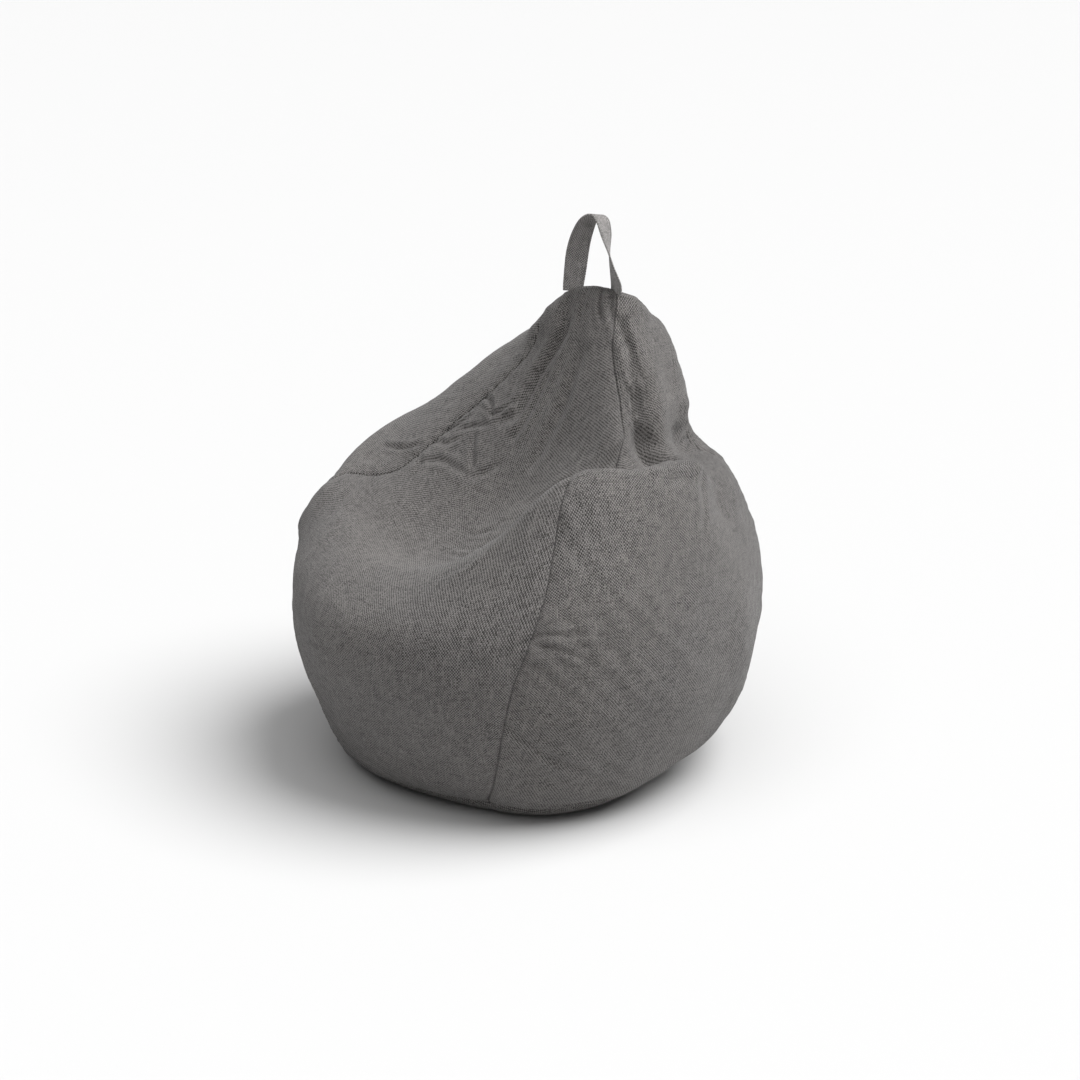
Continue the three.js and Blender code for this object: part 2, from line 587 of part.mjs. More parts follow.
function strapSolid() {
  const lineAt = ({ across, up }) => strapVector(across * strapSpan, 0, up * STRAP_RISE).add(strapMiddle);
  const line = new THREE.CatmullRomCurve3(STRAP_STATIONS.map(lineAt));
  const faces = new THREE.CatmullRomCurve3(STRAP_STATIONS.map(({ face }) => strapVector(...face)));
  const points = [];
  for (let i = 0; i <= STRAP_STEPS; i += 1) {
    const t = i / STRAP_STEPS;
    const centre = line.getPoint(t);
    const ends = i === 0 || i === STRAP_STEPS;
    const along = ends ? strapVector(0, 0, i === 0 ? 1 : -1) : line.getTangent(t);
    const face = faces.getPoint(t);
    face.addScaledVector(along, -face.dot(along)).normalize();
    const width = ends ? acrossStrap.clone().multiplyScalar(i === 0 ? -1 : 1) : face.clone().cross(along);
    const facing = ends ? width.clone().cross(along).multiplyScalar(-1) : face;
    for (const [w, f] of [[1, 1], [-1, 1], [-1, -1], [1, -1]]) {
      points.push(
        centre
          .clone()
          .addScaledVector(width, (w * STRAP_WIDTH) / 2)
          .addScaledVector(facing, (f * STRAP_THICKNESS) / 2),
      );
    }
  }
  const SIDES = 4;
  const triangles = [];
  const quad = (a, b, c, d) => triangles.push([a, b, c], [a, c, d]);
  for (let i = 0; i < STRAP_STEPS; i += 1) {
    for (let s = 0; s < SIDES; s += 1) {
      const [a, b] = [i * SIDES + s, i * SIDES + ((s + 1) % SIDES)];
      quad(a, b, b + SIDES, a + SIDES);
    }
  }
  const last = STRAP_STEPS * SIDES;
  quad(3, 2, 1, 0);
  quad(last, last + 1, last + 2, last + 3);
  return geometryOf(points, triangles);
}

addPiece("carry_handle", "cover", strapSolid());

export default chair;
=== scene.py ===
import math

import bmesh
import bpy
import numpy as np
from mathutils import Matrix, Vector, noise


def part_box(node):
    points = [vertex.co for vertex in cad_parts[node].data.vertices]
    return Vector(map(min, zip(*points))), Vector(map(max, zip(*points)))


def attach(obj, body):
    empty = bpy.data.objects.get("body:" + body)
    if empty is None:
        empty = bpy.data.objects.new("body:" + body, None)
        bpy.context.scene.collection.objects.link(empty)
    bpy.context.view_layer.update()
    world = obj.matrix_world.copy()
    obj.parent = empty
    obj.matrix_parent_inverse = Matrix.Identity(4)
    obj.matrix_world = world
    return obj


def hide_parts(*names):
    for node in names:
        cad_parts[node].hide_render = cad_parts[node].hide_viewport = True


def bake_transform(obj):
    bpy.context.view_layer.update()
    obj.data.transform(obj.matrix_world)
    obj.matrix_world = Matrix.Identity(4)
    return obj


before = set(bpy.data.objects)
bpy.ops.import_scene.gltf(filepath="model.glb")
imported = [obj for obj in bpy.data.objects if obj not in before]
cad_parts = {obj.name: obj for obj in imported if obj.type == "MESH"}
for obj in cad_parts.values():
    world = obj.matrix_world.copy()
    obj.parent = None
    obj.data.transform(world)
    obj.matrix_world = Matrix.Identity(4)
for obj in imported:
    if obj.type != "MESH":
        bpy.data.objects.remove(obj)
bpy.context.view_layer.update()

# ---- Sack shape ------------------------------------------------------------------------------------------
# The same surface as the CAD model's, in metres. Each level: how far along the gore, how far its centre lies
# behind the axis, radius and height at the front, right, back and left as shares of the nominal radius
# and height, and how far its blunt corners stand out.
SACK_RADIUS = 0.400
SACK_HEIGHT = 0.800
BASE_SEAM_RADIUS = 0.298
BASE_SEAM_HEIGHT = 0.030
CAP_RADIUS = 0.076
CAP_CROWN = 0.003
CORNER_ANGLES = (62, 60)  # at the base and at the cap, in degrees
LEVELS = (
    (0.12, 0, (0.835, 0.88, 0.88, 0.84), (0.115, 0.115, 0.115, 0.115), 0.011),
    (0.28, 0, (0.98, 1.01, 1.005, 0.975), (0.319, 0.331, 0.331, 0.319), 0.004),
    (0.42, 0.012, (0.955, 0.955, 0.965, 0.98), (0.44, 0.538, 0.525, 0.522), 0),
    (0.53, 0.055, (0.775, 0.77, 0.845, 0.905), (0.505, 0.69, 0.61, 0.65), 0),
    (0.62, 0.15, (0.625, 0.545, 0.655, 0.78), (0.49, 0.68, 0.69, 0.708), 0),
    (0.74, 0.275, (0.425, 0.42, 0.54, 0.59), (0.588, 0.77, 0.765, 0.802), 0),
    (0.88, 0.4, (0.262, 0.305, 0.35, 0.36), (0.8, 0.9, 0.848, 0.89), 0),
)
LAP_CORNER = (0.54, 0.07, 61, 21, 0.066)  # place along, reach along, angle, reach round it, rise
BASE_LEVEL = [0, 0, BASE_SEAM_RADIUS, 0, 0, 0, BASE_SEAM_HEIGHT, 0, 0, 0, 0.014]
CAP_LEVEL = (1, 0.48, (0.947, 1.066, 1.079, 0.921), (1.002, 0.98, 0.89, 0.931), 0.007)
SEAMS = (  # places along the gore and the seam's angles there, from the front towards the right
    ((0, 0.3, 0.5, 0.56, 0.64, 0.72, 0.8, 0.9, 1), (39, 48, 58, 62, 77, 81, 74, 61, 57)),
    ((0, 0.3, 0.55, 0.75, 1), (125, 135, 140, 140, 150)),
    ((0, 0.3, 0.55, 0.75, 1), (215, 225, 225, 220, 240)),
    ((0, 0.3, 0.55, 0.65, 0.75, 1), (305, 315, 306, 312, 309, 318)),
)
GORES = ("right", "back", "left", "front")


def harmonics(values, scale):
    front, right, back, left = (v * scale for v in values)
    return [
        (front + right + back + left) / 4,
        (front - back) / 2,
        (right - left) / 2,
        (front + back - right - left) / 4,
    ]


def level_row(level, radius):
    along, behind, radii, heights, corner = level
    return [along, behind * SACK_RADIUS, *harmonics(radii, radius), *harmonics(heights, SACK_HEIGHT), corner]


TABLE = np.array(
    [BASE_LEVEL, *(level_row(level, SACK_RADIUS) for level in LEVELS), level_row(CAP_LEVEL, CAP_RADIUS)]
)


def cubic_through(places, values, t):
    """Values at t of the cubic that runs through the rows of values at their places."""
    steps = np.diff(places)[:, None]
    slopes = np.diff(values, axis=0) / steps
    tangents = np.empty_like(values)
    tangents[0], tangents[-1] = slopes[0], slopes[-1]
    tangents[1:-1] = (slopes[:-1] * steps[1:] + slopes[1:] * steps[:-1]) / (steps[1:] + steps[:-1])
    i = np.clip(np.searchsorted(places, t, side="right") - 1, 0, len(places) - 2)
    step = steps[i]
    s = ((t - places[i]) / step[..., 0])[..., None]
    u = 1 - s
    return (
        u * u * (1 + 2 * s) * values[i]
        + u * u * s * step * tangents[i]
        + s * s * (3 - 2 * s) * values[i + 1]
        - s * s * u * step * tangents[i + 1]
    )


def sack_points(along, angle):
    """Points of the sack's surface, for arrays of places along the gore and of angles in radians."""
    channels = cubic_through(TABLE[:, 0], TABLE[:, 1:], along)
    behind, r0, r1, rs, r2, z0, z1, zs, z2, corner = np.moveaxis(channels, -1, 0)
    blunt = np.radians(CORNER_ANGLES[0] + (CORNER_ANGLES[1] - CORNER_ANGLES[0]) * along)
    cosine, sine, double = np.cos(angle), np.sin(angle), np.cos(2 * angle)
    radius = r0 + r1 * cosine + rs * sine + r2 * double + corner * np.cos(4 * (angle - blunt))
    place, reach, bearing, spread, rise = LAP_CORNER
    turn = (1 - np.cos(angle - np.radians(bearing))) / (1 - np.cos(np.radians(spread)))
    lap_corner = rise * np.exp(-(((along - place) / reach) ** 2) - turn)
    height = z0 + z1 * cosine + zs * sine + z2 * double + lap_corner
    return np.stack([radius * sine, behind - radius * cosine, height], -1)


def unit(vectors):
    return vectors / np.maximum(np.linalg.norm(vectors, axis=-1, keepdims=True), 1e-12)


def sack_normals(along, angle):
    step = 1e-4
    low, high = np.clip(along - step, 0, 1), np.clip(along + step, 0, 1)
    up = sack_points(high, angle) - sack_points(low, angle)
    round_it = sack_points(along, angle + step) - sack_points(along, angle - step)
    return unit(np.cross(round_it, up))


def seam_angle(seam, along):
    places, angles = SEAMS[seam % 4]
    return np.radians(np.interp(along, places, angles) + 360 * (seam // 4))


# ---- End of sack shape -----------------------------------------------------------------------------------

# ---- Camera, light and floor -----------------------------------------------------------------------------
LOOK_AT = Vector((0, 0, 0.38))
CAMERA_AZIMUTH, CAMERA_ELEVATION = math.radians(50), math.radians(18.3)
CAMERA_DISTANCE = 3.3
CAMERA_LENS = 64.7
CAMERA_SHIFT = (0.0167, 0.0015)
WORLD_STRENGTH = 0.16
KEY_STRENGTH, KEY_SPREAD = 3.9, 45  # the spread in degrees
FILL_STRENGTH, FILL_SPREAD = 1.35, 60
FLOOR_REACH = 300
FLOOR_TONE = 0.61


def add_sun(name, strength, spread, direction):
    light = bpy.data.lights.new(name, "SUN")
    light.energy = strength
    light.angle = math.radians(spread)
    sun = bpy.data.objects.new(name, light)
    sun.rotation_euler = direction.to_track_quat("Z", "Y").to_euler()
    bpy.context.scene.collection.objects.link(sun)


def set_stage():
    scene = bpy.context.scene
    scene.view_settings.view_transform = "Standard"
    camera = bpy.data.objects.new("camera", bpy.data.cameras.new("camera"))
    scene.collection.objects.link(camera)
    out = Vector(
        (
            math.sin(CAMERA_AZIMUTH) * math.cos(CAMERA_ELEVATION),
            -math.cos(CAMERA_AZIMUTH) * math.cos(CAMERA_ELEVATION),
            math.sin(CAMERA_ELEVATION),
        )
    )
    camera.location = LOOK_AT + CAMERA_DISTANCE * out
    camera.rotation_euler = (-out).to_track_quat("-Z", "Y").to_euler()
    camera.data.lens = CAMERA_LENS
    camera.data.shift_x, camera.data.shift_y = CAMERA_SHIFT
    scene.camera = camera

    world = bpy.data.worlds.new("studio")
    world.use_nodes = True
    background = world.node_tree.nodes["Background"]
    background.inputs["Color"].default_value = (1, 1, 1, 1)
    background.inputs["Strength"].default_value = WORLD_STRENGTH
    scene.world = world

    right = Vector((math.cos(CAMERA_AZIMUTH), math.sin(CAMERA_AZIMUTH), 0))
    add_sun("key_light", KEY_STRENGTH, KEY_SPREAD, right * 0.70 + out * 0.12 + Vector((0, 0, 1.15)))
    add_sun("fill_light", FILL_STRENGTH, FILL_SPREAD, out * 0.55 - right * 0.12 + Vector((0, 0, 1.15)))

    mesh = bpy.data.meshes.new("floor")
    corners = [(x * FLOOR_REACH, y * FLOOR_REACH, 0) for x, y in ((-1, -1), (1, -1), (1, 1), (-1, 1))]
    mesh.from_pydata(corners, [], [(0, 1, 2, 3)])
    floor = bpy.data.objects.new("floor", mesh)
    scene.collection.objects.link(floor)
    paint = bpy.data.materials.new("floor_paint")
    paint.use_nodes = True
    shader = paint.node_tree.nodes["Principled BSDF"]
    shader.inputs["Base Color"].default_value = (FLOOR_TONE, FLOOR_TONE, FLOOR_TONE, 1)
    shader.inputs["Roughness"].default_value = 0.9
    mesh.materials.append(paint)


# ---- Materials -------------------------------------------------------------------------------------------
class Nodes:
    """A short way to write a node tree."""

    def __init__(self, name):
        self.material = bpy.data.materials.new(name)
        self.material.use_nodes = True
        self.tree = self.material.node_tree
        self.shader = self.tree.nodes["Principled BSDF"]

    def add(self, kind, inputs=(), **settings):
        node = self.tree.nodes.new(kind)
        for key, value in settings.items():
            setattr(node, key, value)
        for key, value in dict(inputs).items():
            self.put(node.inputs[key], value)
        return node

    def put(self, socket, value):
        if isinstance(value, bpy.types.NodeSocket):
            self.tree.links.new(value, socket)
        else:
            socket.default_value = value

    def math(self, operation, *values):
        node = self.add("ShaderNodeMath", operation=operation)
        for socket, value in zip(node.inputs, values):
            self.put(socket, value)
        return node.outputs[0]

    def noise(self, vector, scale, detail=2.0, rough=0.5):
        inputs = {"Vector": vector, "Scale": scale, "Detail": detail, "Roughness": rough}
        return self.add("ShaderNodeTexNoise", inputs).outputs[0]

    def ramp(self, factor, *stops):
        node = self.add("ShaderNodeValToRGB", {"Fac": factor})
        while len(node.color_ramp.elements) < len(stops):
            node.color_ramp.elements.new(0.5)
        for element, (place, colour) in zip(node.color_ramp.elements, stops):
            element.position = place
            element.color = (*colour, 1)
        return node.outputs[0]


THREAD_WANDER = 1.3  # how far the threads stray from straight, in threads


def woven(name, dark, light, pitch, bump, sheen, contrast=1.0):
    """Plain weave in the weave UV map, which is in metres: slubby melange threads in two tones, with painted
    shade in the gaps between threads.
    """
    n = Nodes(name)
    uv = n.add("ShaderNodeUVMap", uv_map="weave").outputs[0]
    split = n.add("ShaderNodeSeparateXYZ", {0: uv})
    body = n.add("ShaderNodeTexCoord").outputs["Object"]
    bend, sway = n.noise(body, 75.0, 2.0, 0.6), n.noise(body, 58.0, 2.0, 0.6)
    across = n.math("ADD", n.math("DIVIDE", split.outputs[0], pitch), n.math("MULTIPLY", bend, THREAD_WANDER))
    along = n.math("ADD", n.math("DIVIDE", split.outputs[1], pitch), n.math("MULTIPLY", sway, THREAD_WANDER))
    threads = []
    for own, other, seed, lean in ((across, along, 3.7, -0.5), (along, across, 19.3, 0.5)):
        thread = n.math("FLOOR", own)
        run = n.math("MULTIPLY", other, 0.14)
        own_tone = n.math("MULTIPLY", thread, 1.731)
        place = n.add("ShaderNodeCombineXYZ", {0: own_tone, 1: run, 2: seed}).outputs[0]
        threads.append(n.math("ADD", n.noise(place, 1.0, 3.0, 0.65), lean * 0.32 * contrast))
    warp, weft = threads
    wave = n.math(
        "MULTIPLY",
        n.math("SINE", n.math("MULTIPLY", across, math.pi)),
        n.math("SINE", n.math("MULTIPLY", along, math.pi)),
    )
    over = n.math("GREATER_THAN", wave, 0.0)
    tone = n.add("ShaderNodeMix", {0: over, 2: warp, 3: weft}, data_type="FLOAT").outputs[0]
    crown = n.math("POWER", n.math("ABSOLUTE", wave), 0.5)
    fleck = n.noise(body, 480.0, 2.0, 0.7)
    broad = n.noise(body, 5.0, 3.0, 0.5)
    mixed = n.math("ADD", n.math("MULTIPLY", tone, 0.62), n.math("MULTIPLY", fleck, 0.38))
    # painted shade: the colour is darker in the gaps between threads and lighter on their crowns
    mixed = n.math("ADD", mixed, n.math("MULTIPLY", n.math("SUBTRACT", crown, 0.6), 0.16 * contrast))
    middle = tuple((a + b) / 2 for a, b in zip(dark, light))
    colour = n.ramp(mixed, (0.38, dark), (0.50, middle), (0.62, light))
    tint = n.ramp(broad, (0.3, (0.94, 0.94, 0.95)), (0.7, (1.05, 1.045, 1.04)))
    shade = n.add("ShaderNodeMix", {0: 1.0, 6: colour, 7: tint}, data_type="RGBA", blend_type="MULTIPLY")
    n.put(n.shader.inputs["Base Color"], shade.outputs[2])
    n.put(n.shader.inputs["Roughness"], n.math("ADD", n.math("MULTIPLY", fleck, 0.15), 0.82))
    height = n.math("ADD", crown, n.math("MULTIPLY", mixed, 0.6))
    bumped = n.add("ShaderNodeBump", {"Strength": bump, "Distance": 0.0006, "Height": height})
    n.put(n.shader.inputs["Normal"], bumped.outputs[0])
    n.shader.inputs["Sheen Weight"].default_value = sheen
    n.shader.inputs["Sheen Roughness"].default_value = 0.5
    n.shader.inputs["Specular IOR Level"].default_value = 0.2
    return n.material


def metal(name, colour, rough):
    n = Nodes(name)
    place = n.add("ShaderNodeTexCoord").outputs["Object"]
    scratch = n.noise(place, 900.0, 4.0, 0.7)
    worn = n.ramp(scratch, (0.35, tuple(c * 0.8 for c in colour)), (0.7, colour))
    n.put(n.shader.inputs["Base Color"], worn)
    n.put(n.shader.inputs["Roughness"], n.math("ADD", n.math("MULTIPLY", scratch, 0.25), rough))
    bumped = n.add("ShaderNodeBump", {"Strength": 0.2, "Distance": 0.0002, "Height": scratch})
    n.put(n.shader.inputs["Normal"], bumped.outputs[0])
    n.shader.inputs["Metallic"].default_value = 1.0
    return n.material


def nylon(name, colour):
    n = Nodes(name)
    place = n.add("ShaderNodeTexCoord").outputs["Object"]
    grain = n.noise(place, 1500.0, 2.0, 0.6)
    n.put(n.shader.inputs["Base Color"], n.ramp(grain, (0.3, tuple(c * 0.75 for c in colour)), (0.7, colour)))
    n.put(n.shader.inputs["Roughness"], n.math("ADD", n.math("MULTIPLY", grain, 0.2), 0.35))
    bumped = n.add("ShaderNodeBump", {"Strength": 0.15, "Distance": 0.0001, "Height": grain})
    n.put(n.shader.inputs["Normal"], bumped.outputs[0])
    return n.material


def bead_foam(name):
    n = Nodes(name)
    place = n.add("ShaderNodeTexCoord").outputs["Object"]
    cells = n.add("ShaderNodeTexVoronoi", {"Vector": place, "Scale": 230.0}).outputs["Distance"]
    # painted shade: each bead's colour darkens from its middle towards the gaps between beads
    tone = n.ramp(cells, (0.0, (0.9, 0.9, 0.88)), (0.7, (0.62, 0.62, 0.6)))
    n.put(n.shader.inputs["Base Color"], tone)
    n.put(n.shader.inputs["Roughness"], n.math("ADD", n.math("MULTIPLY", cells, 0.3), 0.45))
    bumped = n.add(
        "ShaderNodeBump", {"Strength": 0.8, "Distance": 0.002, "Height": n.math("SUBTRACT", 1.0, cells)}
    )
    n.put(n.shader.inputs["Normal"], bumped.outputs[0])
    return n.material


# ---- Meshes from grids -----------------------------------------------------------------------------------
def add_piece(name, points, faces, uv=None, material=None):
    """A smooth mesh from points and faces, with a weave UV map in metres where uv gives one place a point."""
    mesh = bpy.data.meshes.new(name)
    mesh.from_pydata(points.tolist(), [], faces.tolist())
    if uv is not None:
        layer = mesh.uv_layers.new(name="weave")
        layer.data.foreach_set("uv", uv[faces.ravel()].ravel().astype(np.float32))
    mesh.polygons.foreach_set("use_smooth", np.ones(len(faces), bool))
    mesh.update()
    if material:
        mesh.materials.append(material)
    piece = bpy.data.objects.new(name, mesh)
    bpy.context.scene.collection.objects.link(piece)
    return piece


def grid_object(name, points, uv, closed=False, material=None):
    """A mesh of quads over rows and columns of points. closed joins the last column to the first."""
    rows, columns = points.shape[:2]
    index = np.arange(rows * columns).reshape(rows, columns)
    if closed:
        index = np.concatenate([index, index[:, :1]], 1)
    quads = np.stack([index[:-1, :-1], index[:-1, 1:], index[1:, 1:], index[1:, :-1]], -1).reshape(-1, 4)
    return add_piece(name, points.reshape(-1, 3), quads, uv.reshape(-1, 2), material)


def close_end(piece, loop):
    """Fills the hole that a closed grid leaves at one end, with a fan of triangles."""
    edit = bmesh.new()
    edit.from_mesh(piece.data)
    edit.verts.ensure_lookup_table()
    face = edit.faces.new([edit.verts[int(k)] for k in loop])
    face.smooth = True
    bmesh.ops.poke(edit, faces=[face])
    edit.to_mesh(piece.data)
    edit.free()


def thicken(piece, thickness):
    solid = piece.modifiers.new("thickness", "SOLIDIFY")
    solid.thickness = thickness
    solid.offset = -1


# ---- Relief: folds, creases and the lumps of the filling -------------------------------------------------
# Folds that run over the sack: half width, depth at the middle, height of the ridge beside it (metres), then
# places (along the gore, angle in degrees). A negative depth is a ridge.
FOLDS = (
    (0.0040, 0.0060, 0.0015, ((1.00, 38), (0.975, 40), (0.955, 45))),
    (0.0040, 0.0030, 0.0010, ((1.00, 14), (0.970, 17), (0.950, 16))),
    (0.0050, 0.0050, 0.0020, ((1.00, 52), (0.975, 53), (0.945, 57))),
    (0.0105, 0.0120, 0.0035, ((0.985, -6), (0.965, -5), (0.947, -4), (0.927, -10), (0.894, -18), (0.865, -19),
                              (0.835, -19), (0.815, -27))),
    (0.0065, 0.0080, 0.0025, ((0.911, -5), (0.877, -8), (0.848, -8), (0.812, -11))),
    (0.0100, 0.0080, 0.0020, ((0.918, 31), (0.886, 26), (0.853, 24), (0.825, 19), (0.785, 14))),
    (0.0085, 0.0090, 0.0020, ((0.955, 64), (0.925, 69), (0.890, 76), (0.861, 80), (0.830, 83))),
    (0.0240, 0.0330, 0.0030, ((0.810, 84), (0.724, 90), (0.677, 95), (0.620, 101), (0.580, 106))),
    (0.0050, 0.0050, 0.0020, ((0.800, 309), (0.811, 318), (0.806, 326))),
    (0.0040, 0.0040, 0.0020, ((0.795, 315), (0.811, 326), (0.827, 330), (0.850, 336))),
    (0.0050, 0.0060, 0.0025, ((0.610, 297), (0.651, 303), (0.682, 307))),
    (0.0045, 0.0040, 0.0020, ((0.700, 308), (0.732, 317), (0.757, 319))),
    (0.0040, 0.0040, 0.0015, ((0.722, 309), (0.750, 312), (0.776, 314))),
    (0.0045, 0.0045, 0.0020, ((0.751, 315), (0.775, 320), (0.797, 327))),
    (0.0040, 0.0035, 0.0015, ((0.665, 308), (0.686, 314), (0.672, 320))),
    (0.0050, 0.0045, 0.0020, ((0.775, 323), (0.764, 330), (0.750, 338))),
    (0.0060, 0.0045, 0.0020, ((0.675, 314), (0.717, 322), (0.742, 338))),
    (0.0060, 0.0040, 0.0015, ((0.738, -21), (0.760, -15), (0.780, -10))),
    (0.0060, 0.0030, 0.0010, ((0.545, 110), (0.485, 103), (0.440, 99))),
    (0.0050, 0.0040, 0.0015, ((0.355, 44), (0.379, 54), (0.366, 68))),
    (0.0040, 0.0030, 0.0015, ((0.374, 50), (0.356, 58), (0.327, 66))),
    (0.0070, 0.0045, 0.0015, ((0.235, 46), (0.190, 55), (0.155, 66))),
    (0.0050, 0.0040, 0.0015, ((0.310, -9), (0.320, 1), (0.350, 10))),
    (0.0045, 0.0030, 0.0015, ((0.492, 24), (0.497, 31), (0.514, 38))),
    (0.0035, 0.0020, 0.0010, ((0.482, 26), (0.489, 32), (0.496, 37))),
    (0.0045, 0.0025, 0.0015, ((0.660, -3), (0.656, 9), (0.672, 16))),
    (0.0045, 0.0025, 0.0015, ((0.640, 2), (0.640, 12), (0.655, 22))),
    (0.0045, 0.0025, 0.0015, ((0.682, 0), (0.689, 10), (0.705, 16))),
)


# Broad swells (above zero) and hollows (below) of the filling: half width, height, then places as for a fold.
SWELLS = (
    (0.038, -0.009, ((0.92, 107), (0.86, 111), (0.78, 119))),
    (0.018, 0.006, ((0.985, 88), (0.975, 102))),
    (0.030, 0.009, ((0.70, 136), (0.66, 140), (0.63, 143))),
    (0.040, -0.022, ((0.60, 131), (0.55, 123), (0.47, 116))),
    (0.060, 0.010, ((0.30, 112), (0.24, 115), (0.18, 122))),
    (0.040, 0.015, ((0.41, 304), (0.455, 310), (0.515, 311))),
    (0.040, -0.006, ((0.38, 316), (0.33, 326), (0.29, 334))),
    (0.045, -0.004, ((0.26, 320), (0.18, 322), (0.13, 320))),
    (0.026, 0.016, ((0.965, 322), (0.940, 309), (0.915, 300))),
    (0.030, -0.004, ((0.90, 292), (0.87, 294), (0.83, 295))),
    (0.012, 0.004, ((0.49, 30), (0.52, 45), (0.54, 61), (0.535, 80), (0.525, 105))),
    (0.018, -0.006, ((0.62, 78), (0.61, 92), (0.575, 106))),
    (0.016, 0.008, ((0.535, 88), (0.535, 98), (0.525, 107))),
)


def near_line(points, line, reach):
    """Which points lie within reach of the line over the sack, how far from it, and their share along it."""
    places = np.array(line, float)
    t = np.linspace(0, len(places) - 1, 16 * (len(places) - 1) + 1)
    smooth = cubic_through(np.arange(len(places), dtype=float), places, t)
    path = sack_points(smooth[:, 0], np.radians(smooth[:, 1]))
    near = ((points > path.min(0) - reach) & (points < path.max(0) + reach)).all(-1)
    gap = np.linalg.norm(points[near][:, None] - path[None], axis=-1)
    closest = gap.argmin(1)
    return near, gap[np.arange(len(gap)), closest], closest / (len(t) - 1)


def fold_relief(points):
    height = np.zeros(points.shape[:-1])
    for width, rise, line in SWELLS:
        near, distance, share = near_line(points, line, 2.6 * width)
        height[near] += rise * np.exp(-((distance / width) ** 2))
    for width, depth, ridge, line in FOLDS:
        near, distance, share = near_line(points, line, 4 * width)
        strength = np.sqrt(np.sin(np.pi * (0.04 + 0.92 * share)))
        valley = -depth * np.exp(-((distance / width) ** 2))
        shoulder = ridge * np.exp(-(((distance - 2.0 * width) / (0.9 * width)) ** 2))
        height[near] += strength * (valley + shoulder)
    return height


def lumps(places, seed):
    """Smooth noise, about -1 to 1, at an array of places."""
    offset = Vector((seed, seed * 1.7, seed * 0.6))
    values = [noise.noise(Vector(p) + offset) for p in places.reshape(-1, 3).tolist()]
    return np.array(values).reshape(places.shape[:-1])


LUMPS = ((0.0050, 0.16, 3.0), (0.0018, 0.055, 11.0), (0.0005, 0.018, 23.0))  # height, size, seed


def relief(points):
    """How far the filled cover stands out of (or, below zero, lies in) the smooth sack."""
    height = fold_relief(points)
    for rise, size, seed in LUMPS:
        height = height + rise * lumps(points / size, seed)
    return height


# ---- Slack of the cloth ----------------------------------------------------------------------------------
DRAPE_ROWS, DRAPE_COLUMNS, DRAPE_FRAMES = 96, 168, 18
CORE_GAP = 0.003  # between the cloth at the start and the filling that it can't go through
CLOTH_EASE = 0.0045  # how much larger the cloth is cut than the filling, as a share
DRAPE_LIMIT = (-0.003, 0.006)  # how far a point may move in and out
DRAPE_CLOTH = {
    "quality": 5,
    "mass": 0.25,
    "tension_stiffness": 25,
    "compression_stiffness": 12,
    "shear_stiffness": 6,
    "bending_stiffness": 0.15,
    "shrink_min": -CLOTH_EASE,
    "vertex_group_mass": "pinned",
}


def drape_grid():
    """Places of the simulated cloth: rows from base to cap, columns round it with a seam at each quarter."""
    along, place = np.meshgrid(
        np.linspace(0, 1, DRAPE_ROWS), np.arange(DRAPE_COLUMNS) * 4 / DRAPE_COLUMNS, indexing="ij"
    )
    gore = place.astype(int)
    angle = np.zeros_like(along)
    for k in range(4):
        here = gore == k
        start, end = seam_angle(k, along[here]), seam_angle(k + 1, along[here])
        angle[here] = start + (end - start) * (place[here] - k)
    return along, angle, np.isclose(place, gore)


def simulate_drape():
    """How far the cloth, cut a little larger than the filling, moves along the normals as it settles."""
    along, angle, on_seam = drape_grid()
    normals = sack_normals(along, angle)
    base = sack_points(along, angle)
    points = base + normals * fold_relief(base)[..., None]
    core = grid_object("drape_core", points - normals * CORE_GAP, points[..., :2], closed=True)
    core.modifiers.new("collision", "COLLISION")
    core.collision.thickness_outer = 0.001
    core.collision.cloth_friction = 12
    cloth = grid_object("drape_cloth", points, points[..., :2], closed=True)
    pinned = cloth.vertex_groups.new(name="pinned")
    ends = (along == 0) | (along == 1) | on_seam
    pinned.add(np.flatnonzero(ends.ravel()).tolist(), 1.0, "REPLACE")
    drape = cloth.modifiers.new("cloth", "CLOTH")
    for key, value in DRAPE_CLOTH.items():
        setattr(drape.settings, key, value)
    drape.collision_settings.distance_min = 0.0015
    drape.collision_settings.collision_quality = 2
    drape.point_cache.frame_end = DRAPE_FRAMES
    for frame_number in range(1, DRAPE_FRAMES + 1):
        bpy.context.scene.frame_set(frame_number)
    settled = cloth.evaluated_get(bpy.context.evaluated_depsgraph_get()).data
    places = np.empty(len(settled.vertices) * 3, np.float32)
    settled.vertices.foreach_get("co", places)
    moved = ((places.reshape(points.shape) - points) * normals).sum(-1)
    for piece in (cloth, core):
        bpy.data.objects.remove(piece)
    bpy.context.scene.frame_set(1)
    return np.clip(moved, *DRAPE_LIMIT)


def weights_of(t):
    """Catmull-Rom weights of the four values round a place that lies t past the second."""
    return (
        -0.5 * t + t**2 - 0.5 * t**3,
        1 - 2.5 * t**2 + 1.5 * t**3,
        0.5 * t + 2 * t**2 - 1.5 * t**3,
        -0.5 * t**2 + 0.5 * t**3,
    )


def drape_at(drape, gore, along, angle):
    start, end = seam_angle(gore, along), seam_angle(gore + 1, along)
    row = along * (DRAPE_ROWS - 1)
    column = (gore + (angle - start) / (end - start)) * DRAPE_COLUMNS / 4
    first_row, first_column = np.floor(row).astype(int), np.floor(column).astype(int)
    total = np.zeros(along.shape)
    for i, row_weight in enumerate(weights_of(row - first_row)):
        rows = np.clip(first_row + i - 1, 0, DRAPE_ROWS - 1)
        for j, column_weight in enumerate(weights_of(column - first_column)):
            total += row_weight * column_weight * drape[rows, (first_column + j - 1) % DRAPE_COLUMNS]
    return total


